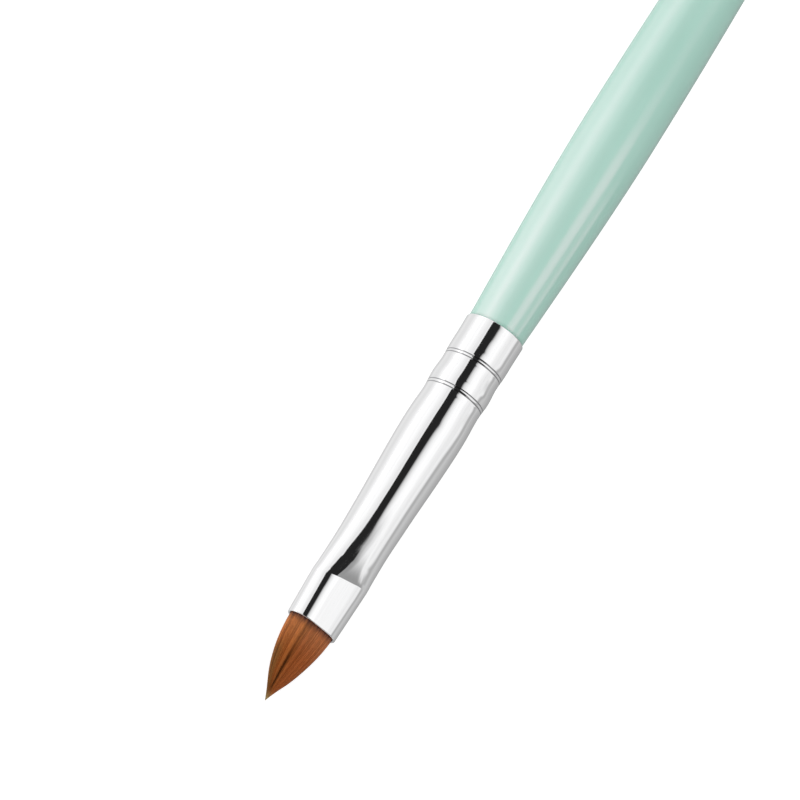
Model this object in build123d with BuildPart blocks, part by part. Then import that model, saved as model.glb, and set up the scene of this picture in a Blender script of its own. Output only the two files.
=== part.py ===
from build123d import *
import math
import os

# Acrylic nail brush, in millimetres.
# +X runs along the brush towards the tip of the hair, +Z is up, and the pressed flat of the ferrule
# faces +Z. The origin is below the middle of the brush, at the level of the belly's lowest point.
# A station is a distance behind the ferrule's front rim, so the free hair has negative stations.

# Lengths along the brush
overall_length = 176.0
hair_length = 10.3
ferrule_length = 41.5

# Handle
belly_radius = 4.475
belly_station = 71.0
shoulder_radius = 3.555
shoulder_slope = 0.044
grip_station = 110.0
grip_radius = 3.72
tail_radius = 2.1
tail_slope = 0.026

# Ferrule: a tapered tube with a straight barrel, two rolled rings and a pressed front
wall = 0.3
barrel_radius = 3.8
barrel_station = 26.5
mouth_rounding = 0.1
ring_stations = (32.1, 36.3)
ring_half_width = 0.85
ring_depth = 0.14
groove_half_width = 0.17
groove_depth = 0.12

# Pressed front of the ferrule
pressed_half_height = 2.1
rim_flat = 2.5
crease_flat = 2.94
crease_station = 6.4
crease_skew_deg = 10.5
closed_flat = 0.05
ramp_end_station = 20.5
ramp_end_radius = 3.6
ramp_end_slope = 0.045
# Between the crease and the ramp's end: (station, flat, half height)
ramp_steps = (
    (7.2, 2.4, 2.31),
    (8.65, 1.7, 2.59),
    (10.8, 1.0, 2.86),
    (14.3, 0.36, 3.19),
    (17.85, 0.08, 3.48),
)

# Tenon and its glue
glue_gap = 0.14
tenon_station = 28.3
tenon_chamfer = 0.4
glue_front_station = 28.9
glue_back_station = 41.3

# Tied root of the hair
root_radius = 2.3
root_neck_station = 12.4
root_end_station = 15.6
thread_station = 12.9
thread_turns = 4
thread_radius = 0.16
plug_front_station = 8.4
plug_back_station = 18.2

# Free hair, a petal in two locks that bends about a line just outside the rim
hinge_lead = 0.3
bend_clearance = 0.1
relief_deg = 56.0
parting_offset = 0.4
parting_tilt_deg = 24.0
petal_half_width = 3.05
petal_half_height = 1.8
# Behind the petal's tip: (share of the free length ahead, share of the width, share of the height)
petal_steps = ((0.18, 0.965, 0.96), (0.37, 0.82, 0.80), (0.66, 0.51, 0.47), (0.87, 0.19, 0.18))
tip_blunt = 0.04

# Worked out from the driving dimensions
rim_x = overall_length / 2 - hair_length
tail_station = overall_length - hair_length
axis_z = belly_radius
hinge_x = rim_x + hinge_lead
bore_half_height = pressed_half_height - wall
nose_radius = bore_half_height
socket_radius = nose_radius + bend_clearance
socket_ends = [(hinge_x, side * rim_flat / 2, axis_z) for side in (-1, 1)]
parting_tilt = math.radians(parting_tilt_deg)
parting_normal = Vector(0, math.cos(parting_tilt), math.sin(parting_tilt))
parting_plane = Plane(
    origin=Vector(0, 0, axis_z) - parting_normal * parting_offset,
    x_dir=(1, 0, 0),
    z_dir=parting_normal,
)
thread_pitch = 2 * thread_radius

shaft_plane = Plane(origin=(rim_x, 0, axis_z), x_dir=(-1, 0, 0), z_dir=(0, 1, 0))
shaft_axis = Axis((0, 0, axis_z), (1, 0, 0))


def cross_plane(station, skew_deg=0.0):
    """The plane across the brush at a station, turned about the vertical by skew_deg."""
    skew = math.radians(skew_deg)
    return Plane(
        origin=(rim_x - station, 0, axis_z),
        x_dir=(-math.sin(skew), math.cos(skew), 0),
        z_dir=(math.cos(skew), math.sin(skew), 0),
    )


def slot_section(station, flat, half_height, skew_deg=0.0):
    """A pressed tube's section: two half rounds joined by flats."""
    flat_on_plane = flat / math.cos(math.radians(skew_deg))
    with BuildSketch(cross_plane(station, skew_deg), mode=Mode.PRIVATE) as section:
        SlotOverall(flat_on_plane + 2 * half_height, 2 * half_height)
    return section.sketch


def pressed_front(inset, mode=Mode.ADD):
    """The ferrule's front as a solid: flat from its rim to the crease, then a ramp that eases into
    the round tube."""
    rim = slot_section(0, rim_flat, pressed_half_height - inset)
    crease = slot_section(crease_station, crease_flat, pressed_half_height - inset, crease_skew_deg)
    ramp = [slot_section(station, flat, height - inset) for station, flat, height in ramp_steps]
    end = slot_section(ramp_end_station, closed_flat, ramp_end_radius - inset)
    loft([rim, crease], ruled=True, mode=mode)
    loft([crease, *ramp, end], ruled=True, mode=mode)


def ringed_line(start, end, inset):
    """The straight barrel's outline from start to end, dipping at both rings."""
    radius = barrel_radius - inset
    reached = start
    for ring in ring_stations:
        before = ring - ring_half_width
        after = ring + ring_half_width
        Line((reached, radius), (before, radius))
        ThreePointArc((before, radius), (ring, radius - ring_depth), (after, radius))
        reached = after
    Line((reached, radius), (end, radius))


def turned_tube(inset):
    """Half section of the round stretch of the ferrule, solid to the axis, smaller by inset."""
    with BuildSketch(shaft_plane, mode=Mode.PRIVATE) as half:
        with BuildLine():
            Spline(
                (ramp_end_station, ramp_end_radius - inset),
                (barrel_station, barrel_radius - inset),
                tangents=((1, ramp_end_slope), (1, 0)),
            )
            ringed_line(barrel_station, ferrule_length, inset)
            Polyline(
                (ferrule_length, barrel_radius - inset),
                (ferrule_length, 0),
                (ramp_end_station, 0),
                (ramp_end_station, ramp_end_radius - inset),
            )
        make_face()
    return half.sketch


def petal_section(ahead_share, width_share, height_share):
    """An oval of the free hair, at a share of the free length ahead of the rim."""
    half_width = max(petal_half_width * width_share, tip_blunt)
    half_height = max(petal_half_height * height_share, tip_blunt / 2)
    with BuildSketch(cross_plane(-hair_length * ahead_share), mode=Mode.PRIVATE) as oval:
        Ellipse(half_width, half_height)
    return oval.sketch


def petal():
    """The whole free hair, clear of the fixed root over the whole bend."""
    reach = 2 * hair_length
    relief = math.radians(relief_deg)
    relief_station = -hinge_lead - reach * math.cos(relief)
    relief_height = reach * math.sin(relief)
    with BuildPart(mode=Mode.PRIVATE) as whole:
        loft(
            [
                petal_section(hinge_lead / hair_length, 1.0, 1.0),
                *[petal_section(*step) for step in petal_steps],
                petal_section(1.0, 0.0, 0.0),
            ]
        )
        with BuildSketch(shaft_plane):
            with BuildLine():
                Polyline(
                    (-hinge_lead, 0),
                    (relief_station, relief_height),
                    (-hinge_lead - reach, 0),
                    (relief_station, -relief_height),
                    close=True,
                )
            make_face()
        extrude(amount=reach, both=True, mode=Mode.INTERSECT)
        with Locations((hinge_x, 0, axis_z)):
            Cylinder(socket_radius, rim_flat, rotation=(90, 0, 0), mode=Mode.SUBTRACT)
        with Locations(*socket_ends):
            Sphere(socket_radius, mode=Mode.SUBTRACT)
    return whole.part


os.makedirs("parts", exist_ok=True)

# Ferrule: one thin tube, turned behind the ramp and pressed flat in front of it.
with BuildPart() as ferrule:
    revolve(turned_tube(0), axis=shaft_axis)
    pressed_front(0)
    mouth_edge = ferrule.edges().filter_by(GeomType.CIRCLE).sort_by(Axis.X)[0]
    fillet(mouth_edge, mouth_rounding)
    revolve(turned_tube(wall), axis=shaft_axis, mode=Mode.SUBTRACT)
    pressed_front(wall, mode=Mode.SUBTRACT)
    # A fine line is rolled into the bottom of each ring.
    for ring in ring_stations:
        with BuildSketch(shaft_plane):
            with Locations((ring, barrel_radius - ring_depth)):
                Ellipse(groove_half_width, groove_depth)
        revolve(axis=shaft_axis, mode=Mode.SUBTRACT)
ferrule.part.label = "ferrule"
export_step(ferrule.part, "parts/ferrule.step")

# Handle: one turned piece, with the tenon that stands in the ferrule's mouth.
tenon_inset = wall + glue_gap
tenon_radius = barrel_radius - tenon_inset
with BuildPart() as handle:
    with BuildSketch(shaft_plane):
        with BuildLine():
            Spline(
                (ferrule_length, shoulder_radius),
                (belly_station, belly_radius),
                tangents=((1, shoulder_slope), (1, 0)),
            )
            Spline(
                (belly_station, belly_radius),
                (grip_station, grip_radius),
                (tail_station - tail_radius, tail_radius),
                tangents=((1, 0), (1, -tail_slope)),
            )
            Spline(
                (tail_station - tail_radius, tail_radius),
                (tail_station, 0),
                tangents=((1, -tail_slope), (0, -1)),
            )
            ringed_line(tenon_station + tenon_chamfer, ferrule_length, tenon_inset)
            Line((ferrule_length, tenon_radius), (ferrule_length, shoulder_radius))
            Polyline(
                (tenon_station + tenon_chamfer, tenon_radius),
                (tenon_station, tenon_radius - tenon_chamfer),
                (tenon_station, 0),
                (tail_station, 0),
            )
        make_face()
    revolve(axis=shaft_axis)
handle.part.label = "handle"
export_step(handle.part, "parts/handle.step")

# Glue: the thin sleeve that fills the gap between tenon and ferrule.
with BuildPart() as tenon_glue:
    with BuildSketch(shaft_plane):
        with BuildLine():
            ringed_line(glue_front_station, glue_back_station, wall)
            ringed_line(glue_front_station, glue_back_station, tenon_inset)
            Line((glue_front_station, barrel_radius - wall), (glue_front_station, tenon_radius))
            Line((glue_back_station, barrel_radius - wall), (glue_back_station, tenon_radius))
        make_face()
    revolve(axis=shaft_axis)
tenon_glue.part.label = "tenon_glue"
export_step(tenon_glue.part, "parts/tenon_glue.step")

# Root of the hair: it fills the pressed front, narrows to the tied end, and stands a little out of
# the rim, where it ends in a round nose that the free hair bends about.
with BuildPart() as tuft_root:
    loft(
        [
            slot_section(-hinge_lead, rim_flat, bore_half_height),
            slot_section(0, rim_flat, bore_half_height),
            slot_section(crease_station, crease_flat, bore_half_height, crease_skew_deg),
            slot_section(root_neck_station, closed_flat, root_radius),
            slot_section(root_end_station, closed_flat, root_radius),
        ],
        ruled=True,
    )
    with Locations((hinge_x, 0, axis_z)):
        Cylinder(nose_radius, rim_flat, rotation=(90, 0, 0))
    with Locations(*socket_ends):
        Sphere(nose_radius)
tuft_root.part.label = "tuft_root"
export_step(tuft_root.part, "parts/tuft_root.step")

# Binding thread: close turns around the tied root.
with BuildPart() as binding_thread:
    with BuildSketch(shaft_plane):
        with BuildLine():
            for turn in range(thread_turns):
                start = thread_station + turn * thread_pitch
                ThreePointArc(
                    (start, root_radius + thread_radius),
                    (start + thread_radius, root_radius + 2 * thread_radius),
                    (start + thread_pitch, root_radius + thread_radius),
                )
            thread_end = thread_station + thread_turns * thread_pitch
            Polyline(
                (thread_station, root_radius + thread_radius),
                (thread_station, root_radius),
                (thread_end, root_radius),
                (thread_end, root_radius + thread_radius),
            )
        make_face()
    revolve(axis=shaft_axis)
    add(tuft_root.part, mode=Mode.SUBTRACT)
binding_thread.part.label = "binding_thread"
export_step(binding_thread.part, "parts/binding_thread.step")

# Resin plug: fills the ferrule around and behind the tied root.
plug_length = plug_back_station - plug_front_station
with BuildPart() as root_plug:
    revolve(turned_tube(wall), axis=shaft_axis)
    pressed_front(wall)
    with Locations((rim_x - (plug_front_station + plug_back_station) / 2, 0, axis_z)):
        Box(plug_length, 4 * barrel_radius, 4 * barrel_radius, mode=Mode.INTERSECT)
    add(tuft_root.part, mode=Mode.SUBTRACT)
    add(binding_thread.part, mode=Mode.SUBTRACT)
root_plug.part.label = "root_plug"
export_step(root_plug.part, "parts/root_plug.step")

# Free hair, one lock on each side of the parting.
with BuildPart() as lock_left:
    add(petal())
    split(bisect_by=parting_plane, keep=Keep.TOP)
lock_left.part.label = "lock_left"
export_step(lock_left.part, "parts/lock_left.step")

with BuildPart() as lock_right:
    add(petal())
    split(bisect_by=parting_plane, keep=Keep.BOTTOM)
lock_right.part.label = "lock_right"
export_step(lock_right.part, "parts/lock_right.step")
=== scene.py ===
"""Looks of the acrylic nail brush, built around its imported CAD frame.

Lengths below are millimetres unless a name says otherwise, and become metres where a mesh is made.
A station is a distance behind the ferrule's front rim, as in the CAD source.
"""

import math
import random

import bpy
import numpy as np
from mathutils import Matrix, Vector, noise


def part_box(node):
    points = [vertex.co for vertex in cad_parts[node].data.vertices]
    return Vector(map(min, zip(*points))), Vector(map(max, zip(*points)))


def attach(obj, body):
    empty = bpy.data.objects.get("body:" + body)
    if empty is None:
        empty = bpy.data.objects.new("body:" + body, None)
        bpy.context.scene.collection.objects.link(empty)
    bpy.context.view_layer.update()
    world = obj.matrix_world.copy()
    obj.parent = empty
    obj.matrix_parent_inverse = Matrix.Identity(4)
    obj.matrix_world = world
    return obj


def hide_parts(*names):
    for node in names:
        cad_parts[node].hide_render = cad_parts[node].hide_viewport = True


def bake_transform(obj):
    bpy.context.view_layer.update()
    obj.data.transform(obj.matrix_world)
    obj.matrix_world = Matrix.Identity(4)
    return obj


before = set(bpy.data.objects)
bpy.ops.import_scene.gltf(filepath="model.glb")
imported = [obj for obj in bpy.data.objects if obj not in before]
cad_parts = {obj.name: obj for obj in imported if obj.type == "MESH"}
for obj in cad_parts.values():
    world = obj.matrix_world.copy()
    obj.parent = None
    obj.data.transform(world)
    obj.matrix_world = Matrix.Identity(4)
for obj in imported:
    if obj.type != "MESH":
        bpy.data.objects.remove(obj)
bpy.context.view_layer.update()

MM = 0.001

# ---------------------------------------------------------------------------
# Places and sizes read from the frame
# ---------------------------------------------------------------------------
ferrule_low, ferrule_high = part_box("ferrule")
handle_low, handle_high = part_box("handle")
tip_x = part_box("lock_left")[1].x / MM
rim_x = ferrule_high.x / MM
mouth_station = (ferrule_high.x - ferrule_low.x) / MM
tail_station = rim_x - handle_low.x / MM
tenon_station = rim_x - handle_high.x / MM
belly_radius = (handle_high.z - handle_low.z) / 2 / MM
axis_z = (handle_high.z + handle_low.z) / 2 / MM
hair_length = tip_x - rim_x

# Handle outline, as turned
SHOULDER_RADIUS = 3.555
SHOULDER_SLOPE = 0.044
BELLY_STATION = 71.0
GRIP_STATION = 110.0
GRIP_RADIUS = 3.72
TAIL_RADIUS = 2.1
TAIL_SLOPE = -0.026
TENON_RADIUS = 3.36
TENON_CHAMFER = 0.4
# The shoulder starts this far ahead of the ferrule's mouth, and its edge is eased by this much
SHOULDER_GAP = 0.02
SHOULDER_EASE = 0.03

# Ferrule outline, as drawn and pressed
WALL = 0.3
RIM_FLAT = 2.50
RIM_EASE = 0.05
PRESSED_HALF_HEIGHT = 2.10
CREASE_FLAT = 2.94
CREASE_STATION = 6.4
CREASE_HALF_LENGTH = 0.1
CREASE_SKEW = math.tan(math.radians(10.5))
SKEW_FADE = 8.0
RAMP_END = 20.5
RAMP_END_RADIUS = 3.60
# (station, half height) of the outside, from the crease to the round barrel
RAMP_HEIGHTS = (
    (CREASE_STATION, PRESSED_HALF_HEIGHT), (7.2, 2.31), (8.65, 2.59), (10.8, 2.86), (14.3, 3.207),
    (17.85, 3.462), (RAMP_END, RAMP_END_RADIUS),
)
# (station, width of the flat) over the same stretch
RAMP_FLATS = (
    (CREASE_STATION, CREASE_FLAT), (7.2, 2.40), (8.65, 1.70), (10.8, 1.0), (14.3, 0.36), (17.85, 0.05),
    (RAMP_END, 0.0),
)
# (station, share of the flat that has turned into round shoulders)
SHOULDERS = (
    (0.0, 0.17), (4.4, 0.19), (5.7, 0.26), (6.3, 0.27), (6.8, 0.23), (8.6, 0.6), (RAMP_END, 0.6),
)
# (station, radius) of the round barrel, with a hollow at each pair of lines
BARREL_RADII = (
    (RAMP_END, RAMP_END_RADIUS), (23.5, 3.72), (26.5, 3.795), (29.5, 3.74), (31.75, 3.66), (33.6, 3.775),
    (35.75, 3.65), (37.0, 3.72), (39.0, 3.73), (41.5, 3.76),
)
# Slopes of these curves at their ends
RAMP_START_SLOPE = 0.30
RAMP_END_SLOPE = 0.045
FLAT_START_SLOPE = -0.72
MOUTH_SLOPE = 0.01
# Fine lines rolled into each hollow, in pairs
LINE_STATIONS = (32.06, 32.45, 36.3, 36.66)
LINE_HALF_WIDTH = 0.10
LINE_DEPTH = 0.035
LIP_LENGTH = 0.14
LIP_DEPTH = 0.08

# Free hair. A share of the way to the tip is 0 at the rim and 1 at the tip
# (share of the way, share of the rim's half width) of the petal, and the same for its half height
PETAL_OUTLINE = ((0.0, 1.0), (0.29, 0.881), (0.52, 0.686), (0.69, 0.48), (0.865, 0.195), (1.0, 0.0))
PETAL_PROFILE = ((0.0, 1.0), (0.37, 0.80), (0.66, 0.47), (0.87, 0.18), (1.0, 0.0))
# How far the petal's middle swings to one side between the rim and the tip
PETAL_SWAY = 0.13
# Between the strands and the ferrule's bore
HAIR_CLEARANCE = 0.06
BORE_HALF_HEIGHT = PRESSED_HALF_HEIGHT - WALL - HAIR_CLEARANCE
BORE_HALF_WIDTH = BORE_HALF_HEIGHT + RIM_FLAT / 2

# The parting between the two locks: its tilt and its place, how far and over what width it pushes the
# hair apart, and by what share and over what width it presses the hair down
PARTING_TILT = math.radians(24.0)
PARTING_OFFSET = 0.4
PARTING_GAP = 0.03
PARTING_GAP_WIDTH = 0.2
PARTING_DIP = 0.30
PARTING_DIP_WIDTH = 0.16
# Shares of the way over which it opens and closes again
PARTING_OPENS = (0.1, 0.55)
PARTING_CLOSES = (0.80, 0.92)

# Strands, from the outside in: (depth below the tuft's skin, number of strands)
LAYERS = (
    (0.03, 250), (0.09, 230), (0.17, 200), (0.28, 170), (0.43, 130), (0.62, 90), (0.9, 60), (1.25, 40),
)
DEEPEST_STRAND = 1.6
HAIR_SEED = 7
STRAND_SIDES = 5
STRAND_SECTIONS = 18
STRAND_RADII = (0.030, 0.045)
# Each strand starts this share of the hair's length behind the rim, may end this share short of the
# tip, and tapers by this much of its radius from this share of its way
STRAND_START = -0.15
STRAND_SHORTFALL = 0.16
STRAND_TAPER = 0.85
TAPER_START = 0.45
STRAND_WANDER = 0.03
# A strand's tone runs from 0, brown, to 1, amber or russet, and follows the noise of its clump
TONE_MEAN = 0.52
TONE_SPREAD = 0.22
CLUMP_TONE = 0.7
CLUMPS_PER_MM = 2.4
CLUMP_SLICE = 3.1

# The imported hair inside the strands: its front end, its narrowed neck and its tied end
CORE_FRONT = -9.5
CORE_DEPTH = 0.12
CORE_THINNING = 0.25
CORE_CLEARANCE = 0.06
SQUEEZE_START = 5.0
NECK_STATION = 12.4
ROOT_STATION = 15.6
ROOT_RADIUS = 2.28


def on_brush(station, y, z):
    """A point of the brush in metres, from its station and its offset from the axis."""
    return Vector(((rim_x - station) * MM, y * MM, (axis_z + z) * MM))


def smooth(low, high, value):
    """0 below low, 1 above high, and an easy curve in between."""
    t = min(max((value - low) / (high - low), 0.0), 1.0)
    return t * t * (3 - 2 * t)


def bump(distance, half_width):
    """1 at no distance, falling smoothly to 0 at half_width."""
    t = min(abs(distance) / half_width, 1.0)
    return (1 - t * t) ** 2


def between(stops, place):
    """A value at a place, along straight lines between (place, value) stops."""
    return float(np.interp(place, [s[0] for s in stops], [s[1] for s in stops]))


def curve_through(knots, start_slope, end_slope):
    """A smooth function through (x, y) knots, with the given slopes at its ends."""
    xs = np.array([k[0] for k in knots], float)
    ys = np.array([k[1] for k in knots], float)
    gaps = np.diff(xs)
    rises = np.diff(ys) / gaps
    count = len(xs)
    system = np.eye(count)
    wanted = np.zeros(count)
    wanted[0] = start_slope
    wanted[-1] = end_slope
    for i in range(1, count - 1):
        system[i, i - 1] = 1 / gaps[i - 1]
        system[i, i] = 2 / gaps[i - 1] + 2 / gaps[i]
        system[i, i + 1] = 1 / gaps[i]
        wanted[i] = 3 * (rises[i - 1] / gaps[i - 1] + rises[i] / gaps[i])
    slopes = np.linalg.solve(system, wanted)

    def curve(x):
        i = int(np.clip(np.searchsorted(xs, x) - 1, 0, count - 2))
        t = (x - xs[i]) / gaps[i]
        return float(
            (1 + 2 * t) * (1 - t) ** 2 * ys[i]
            + t * (1 - t) ** 2 * gaps[i] * slopes[i]
            + t * t * (3 - 2 * t) * ys[i + 1]
            + t * t * (t - 1) * gaps[i] * slopes[i + 1]
        )

    return curve


def stations(*stretches):
    """Sorted stations from (start, end, step) stretches, with no two closer than a hair."""
    found = set()
    for start, end, step in stretches:
        count = max(1, round((end - start) / step))
        found.update(round(start + (end - start) * i / count, 4) for i in range(count + 1))
    return sorted(found)


def tag_rings(piece, name, values, around):
    """Give every point of a skin the value of its ring."""
    tag = piece.data.attributes.new(name, "FLOAT", "POINT")
    tag.data.foreach_set("value", np.repeat(values, around).astype(np.float32))


def skin(name, rings, closed=False):
    """A smooth quad mesh over rings of points. A closed skin joins its last ring to its first,
    and an open one gets a face over each end."""
    around = len(rings[0])
    points = [p for ring in rings for p in ring]
    faces = []
    for i in range(len(rings) if closed else len(rings) - 1):
        a = i * around
        b = (i + 1) % len(rings) * around
        for k in range(around):
            n = (k + 1) % around
            faces.append((a + k, a + n, b + n, b + k))
    if not closed:
        faces.append(tuple(range(around - 1, -1, -1)))
        faces.append(tuple((len(rings) - 1) * around + k for k in range(around)))
    mesh = bpy.data.meshes.new(name)
    mesh.from_pydata(points, [], faces)
    mesh.shade_smooth()
    mesh.update()
    piece = bpy.data.objects.new(name, mesh)
    bpy.context.scene.collection.objects.link(piece)
    return piece


# ---------------------------------------------------------------------------
# Materials
# ---------------------------------------------------------------------------
class Nodes:
    """A material's node tree, with short calls for the nodes used here."""

    def __init__(self, name):
        self.material = bpy.data.materials.new(name)
        self.material.use_nodes = True
        self.tree = self.material.node_tree
        self.tree.nodes.clear()
        self.output = self.add("ShaderNodeOutputMaterial")

    def add(self, kind, **settings):
        node = self.tree.nodes.new(kind)
        for key, value in settings.items():
            setattr(node, key, value)
        return node

    def link(self, output, socket):
        self.tree.links.new(output, socket)

    def principled(self, **values):
        shader = self.add("ShaderNodeBsdfPrincipled")
        for key, value in values.items():
            shader.inputs[key.replace("_", " ")].default_value = value
        self.link(shader.outputs["BSDF"], self.output.inputs["Surface"])
        return shader

    def place(self, scale):
        """Object coordinates, stretched by scale along each axis."""
        where = self.add("ShaderNodeTexCoord")
        mapping = self.add("ShaderNodeMapping")
        mapping.inputs["Scale"].default_value = scale
        self.link(where.outputs["Object"], mapping.inputs["Vector"])
        return mapping.outputs["Vector"]

    def noise(self, scale, detail=3.0, roughness=0.5):
        """Noise whose grain is scale cycles per metre along each axis."""
        node = self.add("ShaderNodeTexNoise")
        node.inputs["Scale"].default_value = 1.0
        node.inputs["Detail"].default_value = detail
        node.inputs["Roughness"].default_value = roughness
        self.link(self.place(scale), node.inputs["Vector"])
        return node.outputs["Fac"]

    def span(self, value, low, high, from_low=0.3, from_high=0.7):
        """value mapped from its own range to low..high."""
        node = self.add("ShaderNodeMapRange")
        node.inputs["From Min"].default_value = from_low
        node.inputs["From Max"].default_value = from_high
        node.inputs["To Min"].default_value = low
        node.inputs["To Max"].default_value = high
        self.link(value, node.inputs["Value"])
        return node.outputs["Result"]

    def mix(self, share, first, second):
        """A colour between first and second, each a colour or an output."""
        node = self.add("ShaderNodeMix", data_type="RGBA")
        for socket, value in ((0, share), (6, first), (7, second)):
            if isinstance(value, bpy.types.NodeSocket):
                self.link(value, node.inputs[socket])
            else:
                node.inputs[socket].default_value = value
        return node.outputs[2]

    def bump(self, height, distance, strength=1.0):
        node = self.add("ShaderNodeBump")
        node.inputs["Strength"].default_value = strength
        node.inputs["Distance"].default_value = distance
        self.link(height, node.inputs["Height"])
        return node.outputs["Normal"]


def lacquer_material():
    """Mint lacquer: an even coloured coat with a clear gloss over it and faint brush flow."""
    n = Nodes("mint_lacquer")
    shader = n.principled(Roughness=0.42, IOR=1.5, Coat_Weight=1.0, Coat_Roughness=0.10, Coat_IOR=1.5)
    shader.inputs["Specular IOR Level"].default_value = 0.25
    clouds = n.span(n.noise((60.0, 160.0, 160.0)), 0.0, 1.0)
    colour = n.mix(clouds, (0.375, 0.665, 0.560, 1), (0.400, 0.690, 0.585, 1))
    n.link(colour, shader.inputs["Base Color"])
    flow = n.noise((90.0, 420.0, 420.0), detail=2.0)
    n.link(n.bump(flow, 0.000012, 0.35), shader.inputs["Coat Normal"])
    n.link(n.span(n.noise((500.0, 500.0, 500.0)), 0.38, 0.48), shader.inputs["Roughness"])
    return n.material


def metal_material():
    """Bright plated tube, with faint lengthwise drawing marks, and painted shade in its rolled lines."""
    n = Nodes("bright_metal")
    shader = n.principled(Metallic=1.0, Roughness=0.05)
    marks = n.noise((120.0, 9000.0, 9000.0), detail=4.0)
    colour = n.mix(n.span(marks, 0.0, 1.0), (0.93, 0.93, 0.935, 1), (0.965, 0.965, 0.97, 1))
    # Painted shade: the metal's colour darkens towards grey in the rolled lines
    painted_groove_shade = n.add("ShaderNodeAttribute", attribute_name="painted_groove_shade").outputs["Fac"]
    n.link(n.mix(painted_groove_shade, colour, (0.30, 0.30, 0.31, 1)), shader.inputs["Base Color"])
    n.link(n.span(n.noise((300.0, 2500.0, 2500.0)), 0.03, 0.075), shader.inputs["Roughness"])
    n.link(n.bump(marks, 0.000002, 0.25), shader.inputs["Normal"])
    return n.material


def hair_material():
    """Each strand carries its own colour, with painted highlight, glow and shade in it, and fine
    lengthwise variation over it.
    """
    n = Nodes("sable_hair")
    shader = n.principled(Roughness=0.40, IOR=1.5)
    shader.inputs["Specular IOR Level"].default_value = 0.35
    shader.inputs["Specular Tint"].default_value = (1.0, 0.55, 0.25, 1)
    own = n.add("ShaderNodeAttribute", attribute_name="strand_colour")
    streak = n.span(n.noise((700.0, 16000.0, 16000.0)), 0.78, 1.18)
    scaled = n.add("ShaderNodeVectorMath", operation="SCALE")
    n.link(own.outputs["Color"], scaled.inputs[0])
    n.link(streak, scaled.inputs["Scale"])
    n.link(scaled.outputs["Vector"], shader.inputs["Base Color"])
    return n.material


def plain_material(name, dark, light, roughness, grain):
    """A simple mottled finish for a piece inside the ferrule."""
    n = Nodes(name)
    shader = n.principled(Roughness=roughness)
    n.link(n.mix(n.span(n.noise(grain), 0.0, 1.0), dark, light), shader.inputs["Base Color"])
    return n.material


# ---------------------------------------------------------------------------
# Handle
# ---------------------------------------------------------------------------
def make_handle():
    """The turned and lacquered handle, from its tenon to its rounded tail."""
    around = 144
    front = curve_through(
        [(mouth_station, SHOULDER_RADIUS), (BELLY_STATION, belly_radius)], SHOULDER_SLOPE, 0.0
    )
    back = curve_through(
        [
            (BELLY_STATION, belly_radius),
            (GRIP_STATION, GRIP_RADIUS),
            (tail_station - TAIL_RADIUS, TAIL_RADIUS),
        ],
        0.0,
        TAIL_SLOPE,
    )
    outline = [
        (tenon_station, TENON_CHAMFER),
        (tenon_station, TENON_RADIUS - TENON_CHAMFER),
        (tenon_station + TENON_CHAMFER, TENON_RADIUS),
        (mouth_station - SHOULDER_GAP, TENON_RADIUS),
        (mouth_station - SHOULDER_GAP / 2, SHOULDER_RADIUS - SHOULDER_EASE),
    ]
    outline += [(s, front(s)) for s in stations((mouth_station, BELLY_STATION, 0.5))]
    outline += [(s, back(s)) for s in stations((BELLY_STATION, tail_station - TAIL_RADIUS, 0.8))[1:]]
    tail_steps = 16
    for i in range(1, tail_steps):
        turn = math.pi / 2 * i / tail_steps
        outline.append((tail_station - TAIL_RADIUS * (1 - math.sin(turn)), TAIL_RADIUS * math.cos(turn)))
    rings = []
    for station, radius in outline:
        turns = [2 * math.pi * k / around for k in range(around)]
        rings.append([on_brush(station, radius * math.cos(t), radius * math.sin(t)) for t in turns])
    handle = skin("handle_lacquered", rings)
    handle.data.materials.append(lacquer_material())
    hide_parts("handle")
    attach(handle, "body")
    return handle


# ---------------------------------------------------------------------------
# Ferrule
# ---------------------------------------------------------------------------
ramp_height = curve_through(RAMP_HEIGHTS, RAMP_START_SLOPE, RAMP_END_SLOPE)
ramp_flat = curve_through(RAMP_FLATS, FLAT_START_SLOPE, 0.0)
barrel_radius = curve_through(BARREL_RADII, RAMP_END_SLOPE, MOUTH_SLOPE)


def tube_section(station):
    """(flat length, half width, half height) of the ferrule's outside at a station."""
    if station < RAMP_END:
        if station < CREASE_STATION:
            flat = RIM_FLAT + (CREASE_FLAT - RIM_FLAT) * station / CREASE_STATION
            height = PRESSED_HALF_HEIGHT
        else:
            flat = max(ramp_flat(station), 0.0)
            height = ramp_height(station)
        return flat * (1 - between(SHOULDERS, station)), flat / 2 + height, height
    radius = barrel_radius(station)
    for line in LINE_STATIONS:
        radius -= LINE_DEPTH * bump(station - line, LINE_HALF_WIDTH)
    into_lip = max(0.0, station - (mouth_station - LIP_LENGTH)) / LIP_LENGTH
    radius -= LIP_DEPTH * (1 - math.sqrt(max(0.0, 1 - into_lip**2)))
    return 0.0, radius, radius


def slot_point(fraction, flat, wide, tall):
    """A point of an outline of two flats joined by two half ellipses, which are wide and tall from
    their own middles. fraction runs once around, from the left end of the upper flat."""
    arc = math.pi * (wide + tall) / 2
    along = fraction * (2 * flat + 2 * arc)
    if along < flat:
        return along - flat / 2, tall
    if along < flat + arc:
        turn = math.pi * (along - flat) / arc
        return flat / 2 + wide * math.sin(turn), tall * math.cos(turn)
    if along < 2 * flat + arc:
        return flat / 2 - (along - flat - arc), -tall
    turn = math.pi * (along - 2 * flat - arc) / arc
    return -flat / 2 - wide * math.sin(turn), -tall * math.cos(turn)


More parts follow.
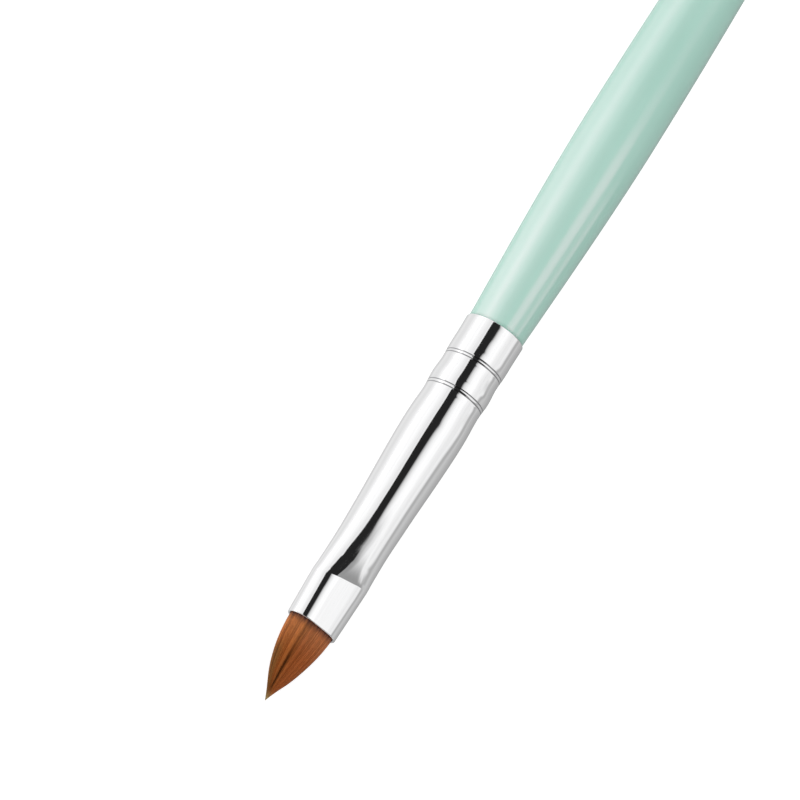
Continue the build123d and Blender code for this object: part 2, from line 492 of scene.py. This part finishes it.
def slot_ring(station, around, inset=0.0):
    """Points around the ferrule at a station, skewed at the press crease."""
    flat, half_width, half_height = tube_section(station)
    wide = half_width - flat / 2 - inset
    tall = half_height - inset
    crease = station / CREASE_STATION
    if station > CREASE_STATION:
        crease = 1 - (station - CREASE_STATION) / SKEW_FADE
    shear = CREASE_SKEW * max(crease, 0.0)
    points = []
    for k in range(around):
        y, z = slot_point((k + 0.5) / around, flat, wide, tall)
        points.append(on_brush(station + shear * y, y, z))
    return points


def make_ferrule():
    """The pressed and rolled tube, with rings of points closest at its crease, lines and lip."""
    around = 256
    lip_station = mouth_station - LIP_LENGTH
    crease_start = CREASE_STATION - CREASE_HALF_LENGTH
    crease_end = CREASE_STATION + CREASE_HALF_LENGTH
    stretches = [
        (RIM_EASE, 2 * RIM_EASE, RIM_EASE),
        (2 * RIM_EASE, crease_start, 0.4),
        (crease_start, crease_end, CREASE_HALF_LENGTH / 2),
        (crease_end, RAMP_END, 0.2),
        (RAMP_END, lip_station, 0.25),
        (lip_station, mouth_station, 0.02),
    ]
    stretches += [(line - LINE_HALF_WIDTH, line + LINE_HALF_WIDTH, 0.03) for line in LINE_STATIONS]
    where = stations(*stretches)
    inner = [s for s in reversed(where) if s < lip_station][::2]
    # Painted shade in the rolled lines: each ring's share of the darkening
    painted_groove_shade = [0.0] + [max(bump(s - line, LINE_HALF_WIDTH) for line in LINE_STATIONS) for s in where]
    painted_groove_shade += [0.0] * (len(inner) + 1)
    rings = [slot_ring(0.0, around, RIM_EASE)]
    rings += [slot_ring(s, around) for s in where]
    rings += [slot_ring(s, around, WALL) for s in inner]
    rings += [slot_ring(0.0, around, WALL - RIM_EASE)]
    ferrule = skin("ferrule_bright", rings, closed=True)
    ferrule.data.flip_normals()
    tag_rings(ferrule, "painted_groove_shade", painted_groove_shade, around)
    ferrule.data.materials.append(metal_material())
    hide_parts("ferrule")
    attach(ferrule, "body")


# ---------------------------------------------------------------------------
# Hair
# ---------------------------------------------------------------------------
petal_outline = curve_through(PETAL_OUTLINE, start_slope=-0.12, end_slope=-1.4)
petal_profile = curve_through(PETAL_PROFILE, start_slope=-0.25, end_slope=-1.3)


def parting_offset(share):
    """How far the parting lies from the axis, this share of the way to the tip."""
    return PARTING_OFFSET * math.sqrt(max(petal_outline(share), 0.0))


def across_parting(y, z):
    """How far an offset from the axis reaches across the parting's plane."""
    return y * math.cos(PARTING_TILT) + z * math.sin(PARTING_TILT)


def shape_hair(ahead, y, z):
    """Where a point of the bundle's section at the rim lies further along, parted in two locks."""
    share = min(max(ahead, 0.0), 1.0)
    y_now = y * petal_outline(share)
    z_now = z * petal_profile(share)
    offset = parting_offset(share)
    across = across_parting(y_now, z_now) + offset
    depth = z_now * math.cos(PARTING_TILT) - y_now * math.sin(PARTING_TILT)
    open_here = smooth(*PARTING_OPENS, share) * (1 - smooth(*PARTING_CLOSES, share))
    gap = PARTING_GAP * open_here * math.exp(-((across / PARTING_GAP_WIDTH) ** 2))
    across += math.copysign(gap, across)
    depth *= 1 - PARTING_DIP * open_here * math.exp(-((across / PARTING_DIP_WIDTH) ** 2))
    across -= offset
    y_now = across * math.cos(PARTING_TILT) - depth * math.sin(PARTING_TILT)
    z_now = across * math.sin(PARTING_TILT) + depth * math.cos(PARTING_TILT)
    return y_now - PETAL_SWAY * math.sin(math.pi * share), z_now


def section_point(fraction, inset):
    """A point of the bore's outline at the rim, drawn in by inset towards the middle."""
    radius = BORE_HALF_HEIGHT - inset
    return slot_point(fraction, RIM_FLAT, radius, radius)


AMBER = np.array((0.66, 0.205, 0.048))
BROWN = np.array((0.24, 0.058, 0.010))
RUSSET = np.array((0.46, 0.125, 0.034))
# Painted highlight near the ferrule
PAINTED_BASE_HIGHLIGHT = np.array((0.090, 0.068, 0.040))
# Painted glow of light shining through the thin tips
PAINTED_TIP_GLOW = np.array((0.35, 0.26, 0.11))
# Painted shade: how much of each colour the hair loses along its outline
OUTLINE_SHADE = np.array((0.42, 0.22, 0.10))
# Painted shadow of the ferrule's rim over the strands' roots
SHADED_ROOT = np.array((0.075, 0.032, 0.036))


def strand_colour(tone, across, side, ahead):
    """A strand's colour at a point, from its own tone and where on the tuft it lies, with painted light
    and shade in it: across is its distance from the parting, and side is 0 in the middle and 1 at the
    outline."""
    # Amber on the left of the parting and russet on the right
    amber = BROWN + (AMBER - BROWN) * tone
    russet = BROWN + (RUSSET - BROWN) * tone
    right = smooth(-0.1, 0.6, across)
    body = amber * (1 - right) + russet * right
    # Painted highlight: brighter and paler near the ferrule
    body = body * (1.12 - 0.20 * smooth(0.0, 0.6, ahead))
    body = body + PAINTED_BASE_HIGHLIGHT * (1 - smooth(0.0, 0.45, ahead))
    # Painted shade in the parting: a fine dark line in a broad shadow
    fine = math.exp(-((across / 0.10) ** 2)) * smooth(0.34, 0.50, ahead)
    fine *= 1 - smooth(*PARTING_CLOSES, ahead)
    broad = math.exp(-(((across + 0.05) / 0.34) ** 2))
    body = body * (1 - 0.80 * fine) * (1 - 0.30 * broad)
    # Painted shade, darker along the outline
    outline = smooth(0.72, 1.0, side) * smooth(0.25, 0.5, ahead)
    body = body * (1 - outline * OUTLINE_SHADE)
    # Painted glow of light through the thin tips, in olive gold, and painted shadow where the strands
    # enter the ferrule
    tip = smooth(0.86, 0.99, ahead)
    body = body * (1 - tip) + PAINTED_TIP_GLOW * tip
    root = 1 - smooth(0.006, 0.018, ahead)
    return body * (1 - root) + SHADED_ROOT * root


def add_strand(lock, y, z, reach, thick, tone, phase, wander):
    """Add one tapering strand to a lock's points, faces and colours. It passes y, z in the rim's
    section and wanders a little on its way, and its sections lie closer towards the tip."""
    points, faces, colours = lock
    base = len(points)
    for k in range(STRAND_SECTIONS + 1):
        ahead = STRAND_START + (reach - STRAND_START) * (1 - (1 - k / STRAND_SECTIONS) ** 1.3)
        free = max(ahead, 0.0)
        ease = smooth(0, 0.3, free) * (1 - 0.6 * free)
        y_off = y + wander * math.sin(5 * free + phase) * ease
        z_off = z + wander * math.cos(4 * free + phase) * ease
        middle_y, middle_z = shape_hair(ahead, y_off, z_off)
        radius = thick * (1 - STRAND_TAPER * smooth(TAPER_START, 1.0, free / reach))
        across = across_parting(middle_y, middle_z) + parting_offset(free)
        side = abs(middle_y) / (BORE_HALF_WIDTH * max(petal_outline(free), 0.05))
        colour = strand_colour(tone, across, side, free)
        for s in range(STRAND_SIDES):
            turn = 2 * math.pi * s / STRAND_SIDES + phase
            y_side = middle_y + radius * math.cos(turn)
            z_side = middle_z + radius * math.sin(turn)
            points.append(on_brush(-ahead * hair_length, y_side, z_side))
            colours.append((*colour, 1.0))
        if k:
            for s in range(STRAND_SIDES):
                a = base + (k - 1) * STRAND_SIDES + s
                b = base + (k - 1) * STRAND_SIDES + (s + 1) % STRAND_SIDES
                faces.append((a, b, b + STRAND_SIDES, a + STRAND_SIDES))
    last = base + STRAND_SECTIONS * STRAND_SIDES
    faces.append(tuple(base + s for s in reversed(range(STRAND_SIDES))))
    faces.append(tuple(last + s for s in range(STRAND_SIDES)))


def make_strands(rng):
    """Points, faces and colours of the strands of each lock."""
    locks = {"left": ([], [], []), "right": ([], [], [])}
    for depth, count in LAYERS:
        for i in range(count):
            fraction = (i + rng.uniform(-0.45, 0.45)) / count % 1.0
            y, z = section_point(fraction, min(depth + rng.uniform(-0.02, 0.05), DEEPEST_STRAND))
            lock = locks["left" if across_parting(y, z) + PARTING_OFFSET >= 0 else "right"]
            reach = 1.0 - rng.random() ** 2 * STRAND_SHORTFALL
            thick = rng.uniform(*STRAND_RADII)
            clump = noise.noise(Vector((y * CLUMPS_PER_MM, z * CLUMPS_PER_MM, CLUMP_SLICE)))
            tone = min(max(rng.gauss(TONE_MEAN, TONE_SPREAD) + CLUMP_TONE * clump, 0.0), 1.0)
            phase = rng.uniform(0, 2 * math.pi)
            wander = rng.uniform(0.0, STRAND_WANDER)
            add_strand(lock, y, z, reach, thick, tone, phase, wander)
    return locks


def hair_piece(name, points, faces, colours, material):
    """One lock of strands."""
    mesh = bpy.data.meshes.new(name)
    mesh.from_pydata(points, [], faces)
    mesh.shade_smooth()
    own = mesh.color_attributes.new("strand_colour", "FLOAT_COLOR", "POINT")
    own.data.foreach_set("color", np.array(colours, np.float32).ravel())
    mesh.materials.append(material)
    piece = bpy.data.objects.new(name, mesh)
    bpy.context.scene.collection.objects.link(piece)
    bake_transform(piece)
    return piece


def make_core(material):
    """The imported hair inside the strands, from the tied root almost to the tip."""
    around = 64
    stretches = [(CORE_FRONT, 0.0, 0.4), (0.0, NECK_STATION, 0.8), (NECK_STATION, ROOT_STATION, 0.8)]
    rings = []
    for station in stations(*stretches):
        if station <= 0:
            ahead = -station / hair_length
            inset = CORE_DEPTH + CORE_THINNING * smooth(0, 0.5, ahead)
            ring = [section_point((k + 0.5) / around, inset) for k in range(around)]
            ring = [shape_hair(ahead, y, z) for y, z in ring]
        else:
            squeeze = smooth(SQUEEZE_START, NECK_STATION, station)
            ring = []
            for k in range(around):
                y, z = section_point((k + 0.5) / around, CORE_CLEARANCE)
                turn = math.atan2(z, y)
                y += (ROOT_RADIUS * math.cos(turn) - y) * squeeze
                z += (ROOT_RADIUS * math.sin(turn) - z) * squeeze
                ring.append((y, z))
        rings.append([on_brush(station, y, z) for y, z in ring])
    core = skin("tuft_core", rings)
    own = core.data.color_attributes.new("strand_colour", "FLOAT_COLOR", "POINT")
    own.data.foreach_set("color", np.tile((*(BROWN * 0.7), 1.0), len(core.data.vertices)))
    core.data.materials.append(material)
    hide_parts("tuft_root")
    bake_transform(core)


def make_hair():
    """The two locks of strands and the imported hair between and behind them."""
    material = hair_material()
    locks = make_strands(random.Random(HAIR_SEED))
    for side in ("left", "right"):
        piece = hair_piece("hairs_" + side, *locks[side], material)
        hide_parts("lock_" + side)
    make_core(material)


# ---------------------------------------------------------------------------
# Pieces inside the ferrule keep their CAD shape
# ---------------------------------------------------------------------------
# Node: name of its finish, its darker and lighter colour, its roughness, and its grain per metre
HIDDEN_FINISHES = {
    "tenon_glue": (
        "clear_adhesive", (0.50, 0.42, 0.22, 1), (0.62, 0.54, 0.33, 1), 0.25, (400.0, 400.0, 400.0),
    ),
    "root_plug": (
        "amber_resin", (0.22, 0.12, 0.04, 1), (0.36, 0.22, 0.08, 1), 0.2, (500.0, 500.0, 500.0),
    ),
    "binding_thread": (
        "waxed_thread", (0.62, 0.58, 0.48, 1), (0.80, 0.76, 0.66, 1), 0.6, (2500.0, 900.0, 900.0),
    ),
}


def finish_hidden_pieces():
    """Give each CAD piece inside the ferrule its own finish."""
    for node, finish in HIDDEN_FINISHES.items():
        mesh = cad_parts[node].data
        mesh.materials.clear()
        mesh.materials.append(plain_material(*finish))


# ---------------------------------------------------------------------------
# Studio
# ---------------------------------------------------------------------------
VIEW_AZIMUTH = math.radians(34.5)
VIEW_ELEVATION = math.radians(61.6)
BRUSH_LEAN = math.radians(57.97)
LENS = 600.0
CLIP_END_M = 20.0
# What the picture spans at the brush, and where its middle lies from the tip of the hair
FRAME_WIDTH = 92.28
AIM_BEHIND_TIP = 38.84
AIM_ASIDE = -5.14

# The table, just clear of the handle, and the glowing sheet on it that shows painted shade in reflections
TABLE_GAP = 0.05
TABLE_REACH_M = 12.0
TABLE_GLOW = 0.60
SHADE_SHEET_LIFT = 0.04

# An even room and one large lamp, which stands this many degrees left of the brush's camera side
ROOM_GLOW = 0.50
SOFTBOX_POWER = 7.5
SOFTBOX_SIZE_M = 1.0
SOFTBOX_DISTANCE_M = 1.3
SOFTBOX_TURN = 6.0

# Directions: towards the camera, along the brush as the camera sees it and to the right of it, and
# the side of the brush that faces the camera
toward = Vector(
    (
        math.sin(VIEW_AZIMUTH) * math.cos(VIEW_ELEVATION),
        -math.cos(VIEW_AZIMUTH) * math.cos(VIEW_ELEVATION),
        math.sin(VIEW_ELEVATION),
    )
)
tailward = Vector((-1, 0, 0))
along_view = (tailward - toward * tailward.dot(toward)).normalized()
side_view = along_view.cross(toward)
brush_top = Vector((0, -side_view.z, side_view.y)).normalized()


def make_camera():
    """The photograph's view: the brush leans across the frame, tip down."""
    right = along_view * math.cos(BRUSH_LEAN) + side_view * math.sin(BRUSH_LEAN)
    up = along_view * math.sin(BRUSH_LEAN) - side_view * math.cos(BRUSH_LEAN)
    data = bpy.data.cameras.new("camera")
    data.lens = LENS
    data.clip_end = CLIP_END_M
    distance = FRAME_WIDTH * LENS / data.sensor_width * MM
    tip = Vector((tip_x * MM, 0, axis_z * MM))
    aim = tip + tailward * AIM_BEHIND_TIP * MM + side_view * AIM_ASIDE * MM
    camera = bpy.data.objects.new("camera", data)
    camera.matrix_world = Matrix.LocRotScale(
        aim + toward * distance, Matrix((right, up, toward)).transposed().to_quaternion(), None
    )
    bpy.context.scene.collection.objects.link(camera)
    bpy.context.scene.camera = camera


def table_height(x):
    """The table's height at an x, both in metres. It lies under the handle's belly and tail."""
    belly_x = (rim_x - BELLY_STATION) * MM
    tail_x = (rim_x - tail_station + TAIL_RADIUS) * MM
    slope = (belly_radius - TAIL_RADIUS) * MM / (tail_x - belly_x)
    return slope * (x - belly_x) - TABLE_GAP * MM


def make_floor():
    """A pale, softly backlit table, which tilts a little so that the handle lies along it."""
    corners = []
    for x_sign, y_sign in ((-1, -1), (1, -1), (1, 1), (-1, 1)):
        x = x_sign * TABLE_REACH_M
        corners.append((x, y_sign * TABLE_REACH_M, table_height(x)))
    mesh = bpy.data.meshes.new("table")
    mesh.from_pydata(corners, [], [(0, 1, 2, 3)])
    table = bpy.data.objects.new("table", mesh)
    bpy.context.scene.collection.objects.link(table)
    n = Nodes("pale_table")
    shader = n.principled(Roughness=0.7, Emission_Strength=TABLE_GLOW)
    shader.inputs["Specular IOR Level"].default_value = 0.0
    shader.inputs["Emission Color"].default_value = (1.0, 1.0, 1.0, 1)
    tone = n.span(n.noise((40.0, 40.0, 40.0)), 0.0, 1.0)
    n.link(n.mix(tone, (0.73, 0.73, 0.73, 1), (0.75, 0.75, 0.75, 1)), shader.inputs["Base Color"])
    mesh.materials.append(n.material)


# The strip lights' colour, which tones the lacquer's green down where they reflect
STRIP_COLOUR = (1.0, 0.46, 0.63, 1)


def panel_from_grid(name, points, row, brightness, opacity, only_for=None):
    """A studio panel over a grid of points, row points to a row, which shows only in reflections.

    A panel made only for one piece adds its rosy light to that piece's gloss and to nothing else."""
    faces = []
    for a in range(len(points) - row):
        if (a + 1) % row:
            faces.append((a, a + 1, a + row + 1, a + row))
    mesh = bpy.data.meshes.new(name)
    mesh.from_pydata(points, [], faces)
    for key, values in (("glow", brightness), ("cover", opacity)):
        mesh.attributes.new(key, "FLOAT", "POINT").data.foreach_set("value", values)
    n = Nodes(name)
    light = n.add("ShaderNodeEmission")
    if only_for:
        light.inputs["Color"].default_value = STRIP_COLOUR
    n.link(n.add("ShaderNodeAttribute", attribute_name="glow").outputs["Fac"], light.inputs["Strength"])
    clear = n.add("ShaderNodeBsdfTransparent")
    if only_for:
        join = n.add("ShaderNodeAddShader")
        n.link(clear.outputs["BSDF"], join.inputs[0])
        n.link(light.outputs["Emission"], join.inputs[1])
    else:
        join = n.add("ShaderNodeMixShader")
        share = n.add("ShaderNodeAttribute", attribute_name="cover")
        n.link(share.outputs["Fac"], join.inputs["Fac"])
        n.link(clear.outputs["BSDF"], join.inputs[1])
        n.link(light.outputs["Emission"], join.inputs[2])
    n.link(join.outputs["Shader"], n.output.inputs["Surface"])
    mesh.materials.append(n.material)
    panel = bpy.data.objects.new(name, mesh)
    bpy.context.scene.collection.objects.link(panel)
    panel.visible_camera = False
    panel.visible_diffuse = False
    panel.visible_shadow = False
    panel.visible_transmission = False
    if only_for:
        group = bpy.data.collections.new(name)
        group.objects.link(only_for)
        panel.light_linking.receiver_collection = group


def make_panel(name, angles, xs, distance, glow, only_for=None):
    """A curved opaque panel along the brush. angles are degrees around the brush from its camera
    side towards the view's right, and glow gives the brightness at an angle and an x in metres."""
    points = []
    brightness = []
    for angle in angles:
        turn = math.radians(angle)
        out = (brush_top * math.cos(turn) + side_view * math.sin(turn)) * distance
        for x in xs:
            points.append((x, out.y, axis_z * MM + out.z))
            brightness.append(glow(angle, x))
    panel_from_grid(name, points, len(xs), brightness, [1.0] * len(points), only_for)


# Brightness of the light tent by angle: a black flag with one sharp and one soft edge, and a grey
# flag low on the right
FLAG_BACK = -23.6
FLAG_EDGE = 3.4
FLAG_REACH = 62.0
FLAG_GLOW = 0.018
TENT_GLOW = (
    (-66.0, 1.04), (-52.0, 1.04), (-44.0, 0.96), (-32.0, 0.84), (FLAG_BACK - 0.1, 0.86),
    (FLAG_BACK, FLAG_GLOW), (FLAG_EDGE, FLAG_GLOW), (7.0, 0.45), (12.0, 0.76), (20.0, 0.95),
    (28.0, 1.05), (44.0, 1.05), (50.0, 0.95), (FLAG_REACH, 0.86), (68.0, 0.91), (74.0, 0.85),
    (80.0, 0.50), (84.0, 0.42), (89.0, 0.48), (95.0, 0.57), (106.0, 0.55), (120.0, 0.46),
)
TENT_DISTANCE_M = 0.45
# The flags are cut at a slant along the brush: (x in metres, degrees), added to the black flag's soft
# edge and to its sharp edge, and by which the grey flag hangs lower
FLAG_SLANT = (
    (-0.125, 0.0), (-0.095, 0.0), (-0.078, 3.0), (-0.062, -1.0), (-0.04, -2.0), (-0.02, -2.5),
    (-0.008, -1.8), (0.0, -0.2), (0.01, 3.2), (0.016, 6.6), (0.024, 11.5), (0.028, 15.5), (0.035, 19.2),
    (0.048, 22.0), (0.062, 24.0), (0.09, 27.8), (0.12, 30.0), (0.40, 33.0),
)
BACK_SLANT = ((-0.03, 0.0), (-0.012, 1.0), (-0.004, 2.2), (0.007, 5.0))
GREY_SLANT = (
    (-0.16, 0.0), (-0.10, 15.0), (-0.085, 15.0), (-0.065, 12.0), (-0.05, 7.0), (-0.04, 5.5),
    (-0.017, 4.5), (0.007, 5.0), (0.02, 2.5), (0.035, -0.6), (0.06, -7.0),
)
# The x in metres where the tent's lamps start to fade towards the tip, and where they end, by angle
LAMPS_FADE = (
    (-24.0, 0.12), (0.0, 0.0), (20.0, 0.0), (28.0, -0.012), (35.0, -0.008), (43.0, -0.010), (50.0, 0.007),
    (57.0, 0.068), (62.0, 0.056),
)
LAMPS_END = (
    (-24.0, 0.22), (0.0, 0.07), (20.0, 0.07), (28.0, 0.065), (35.0, 0.080), (43.0, 0.105), (50.0, 0.144),
    (57.0, 0.175), (62.0, 0.156),
)
# The x in metres between which they fade behind the tail, and the tent's brightness, at most, past
# its lamps
TAIL_FADE = (-0.75, -0.55)
TENT_END_GLOW = 0.31


def tent_glow(angle, x):
    """The tent's brightness, which falls off past its lamps at both ends."""
    lit = 1 - smooth(between(LAMPS_FADE, angle), between(LAMPS_END, angle), x)
    lit *= smooth(*TAIL_FADE, x)
    edge = FLAG_EDGE + between(FLAG_SLANT, x)
    if angle < 0:
        angle -= between(BACK_SLANT, x)
    elif angle <= edge:
        angle = min(angle, FLAG_EDGE)
    elif angle < FLAG_REACH:
        angle = FLAG_EDGE + (angle - edge) * (FLAG_REACH - FLAG_EDGE) / (FLAG_REACH - edge)
    else:
        angle = max(angle - between(GREY_SLANT, x), FLAG_REACH)
    glow = between(TENT_GLOW, angle)
    return glow * lit + min(glow, TENT_END_GLOW) * (1 - lit)


def make_tent():
    """The tent's points lie closest at the flags' edges, and where the ferrule's reflections fall."""
    angles = {a for a, _ in TENT_GLOW}
    angles |= {float(a) for a in range(-66, 120, 3)}
    angles |= {float(a) for a in range(108)}
    angles |= {FLAG_BACK + 0.25 * k for k in range(24)}
    behind = [(-1.0, TAIL_FADE[0], 0.25), (*TAIL_FADE, 0.05), (TAIL_FADE[1], -0.10, 0.15)]
    ahead = [(-0.10, 0.14, 0.006), (0.16, 0.46, 0.02)]
    xs = stations(*behind, *ahead) + [0.7]
    make_panel("light_tent", sorted(angles), xs, TENT_DISTANCE_M, tent_glow)


# A glowing sheet on the table that only reflections show, with painted shade under and to the right of
# the brush: (metres to the right of the brush, brightness), and its opacity by x
SHADE_SHEET_GLOW = (
    (-0.030, 1.0), (-0.016, 0.93), (-0.0125, 0.85), (-0.0095, 0.78), (-0.0075, 0.80), (-0.006, 0.84),
    (-0.0045, 0.72), (-0.003, 0.62), (0.0, 0.50), (0.005, 0.38), (0.009, 0.36), (0.012, 0.38),
    (0.017, 0.42), (0.026, 0.44), (0.060, 0.50), (0.47, 0.50),
)
SHADE_SHEET_COVER = (
    (-0.30, 1.0), (-0.088, 1.0), (-0.02, 1.0), (0.05, 1.0), (0.094, 1.0), (0.098, 0.7), (0.102, 0.3),
    (0.106, 0.0),
)


def make_reflected_shade_sheet():
    """A glowing grey sheet laid on the table under and beside the brush, which only reflections show:
    painted shade of the table near the brush.
    """
    points = []
    glow = []
    opacity = []
    for row, (y, tone) in enumerate(SHADE_SHEET_GLOW):
        for x, cover in SHADE_SHEET_COVER:
            points.append((x, y, table_height(x) + SHADE_SHEET_LIFT * MM))
            glow.append(tone)
            opacity.append(cover if row else 0.0)
    panel_from_grid("reflected_shade_sheet", points, len(SHADE_SHEET_COVER), glow, opacity)


# Strip lights for the lacquer: brightness by angle, and the share of it left by x in metres
LEFT_STRIP = (
    (-97.0, 1.6), (-76.0, 2.7), (-66.0, 3.4), (-61.0, 4.0), (-54.0, 5.8), (-48.0, 6.4), (-42.0, 5.8),
    (-36.0, 4.6), (-25.0, 2.9), (-15.0, 2.2), (-5.0, 1.7), (6.0, 0.9), (14.0, 0.0),
)
LEFT_FADE = ((-0.04, 0.50), (0.0, 0.57), (0.014, 0.70), (0.028, 0.90), (0.04, 1.0))
LEFT_STRIP_DISTANCE_M = 0.009
RIGHT_STRIP = (
    (12.0, 0.1), (20.0, 0.3), (26.0, 1.4), (31.0, 3.4), (40.0, 4.1), (48.0, 4.2), (55.0, 3.0),
    (58.0, 0.8), (66.0, 0.7), (76.0, 1.8), (84.0, 2.6), (88.0, 1.6), (92.0, 0.2), (100.0, 0.0),
)
RIGHT_FADE = ((-0.10, 0.10), (-0.065, 0.20), (-0.051, 0.45), (-0.039, 0.95), (-0.03, 1.0))
RIGHT_STRIP_DISTANCE_M = 0.20
# The right strip's outer part, past this angle, ends further forward
OUTER_ANGLE = 60.0
OUTER_FADE = ((-0.10, 0.0), (-0.04, 0.0), (-0.034, 0.6), (-0.028, 1.0))
STRIP_XS = (
    -0.45, -0.10, -0.08, -0.065, -0.051, -0.045, -0.04, -0.034, -0.028, 0.0, 0.014, 0.028, 0.04, 0.25,
)


def left_strip_glow(angle, x):
    return between(LEFT_STRIP, angle) * between(LEFT_FADE, x)


def right_strip_glow(angle, x):
    fade = RIGHT_FADE if angle < OUTER_ANGLE else OUTER_FADE
    return between(RIGHT_STRIP, angle) * between(fade, x)


def make_handle_strips(handle):
    """Strip lights for the lacquer: a broad soft one on the left, crisper ones on the right, which
    end over the handle's middle."""
    for name, stops, glow, distance in (
        ("strip_left", LEFT_STRIP, left_strip_glow, LEFT_STRIP_DISTANCE_M),
        ("strip_right", RIGHT_STRIP, right_strip_glow, RIGHT_STRIP_DISTANCE_M),
    ):
        first = int(stops[0][0])
        last = int(stops[-1][0])
        angles = sorted({a for a, _ in stops} | {float(a) for a in range(first, last, 4)})
        make_panel(name, angles, STRIP_XS, distance, glow, only_for=handle)


def make_lamps():
    """An even pale room, and one large soft lamp above the brush."""
    world = bpy.data.worlds.new("studio")
    world.use_nodes = True
    background = world.node_tree.nodes["Background"]
    background.inputs["Color"].default_value = (1.0, 1.0, 1.0, 1)
    background.inputs["Strength"].default_value = ROOM_GLOW
    bpy.context.scene.world = world
    lamp = bpy.data.lights.new("softbox", "AREA")
    lamp.shape = "SQUARE"
    lamp.size = SOFTBOX_SIZE_M
    lamp.energy = SOFTBOX_POWER
    softbox = bpy.data.objects.new("softbox", lamp)
    turn = math.radians(-SOFTBOX_TURN)
    direction = brush_top * math.cos(turn) + side_view * math.sin(turn)
    softbox.location = direction * SOFTBOX_DISTANCE_M
    softbox.rotation_mode = "QUATERNION"
    softbox.rotation_quaternion = direction.to_track_quat("Z", "Y")
    softbox.visible_glossy = False
    bpy.context.scene.collection.objects.link(softbox)


def set_stage(handle):
    """Camera, table and lights. handle is the piece that the strip lights shine on."""
    bpy.context.scene.view_settings.view_transform = "Standard"
    make_camera()
    make_floor()
    make_lamps()
    make_tent()
    make_reflected_shade_sheet()
    make_handle_strips(handle)


handle = make_handle()
make_ferrule()
make_hair()
finish_hidden_pieces()
set_stage(handle)
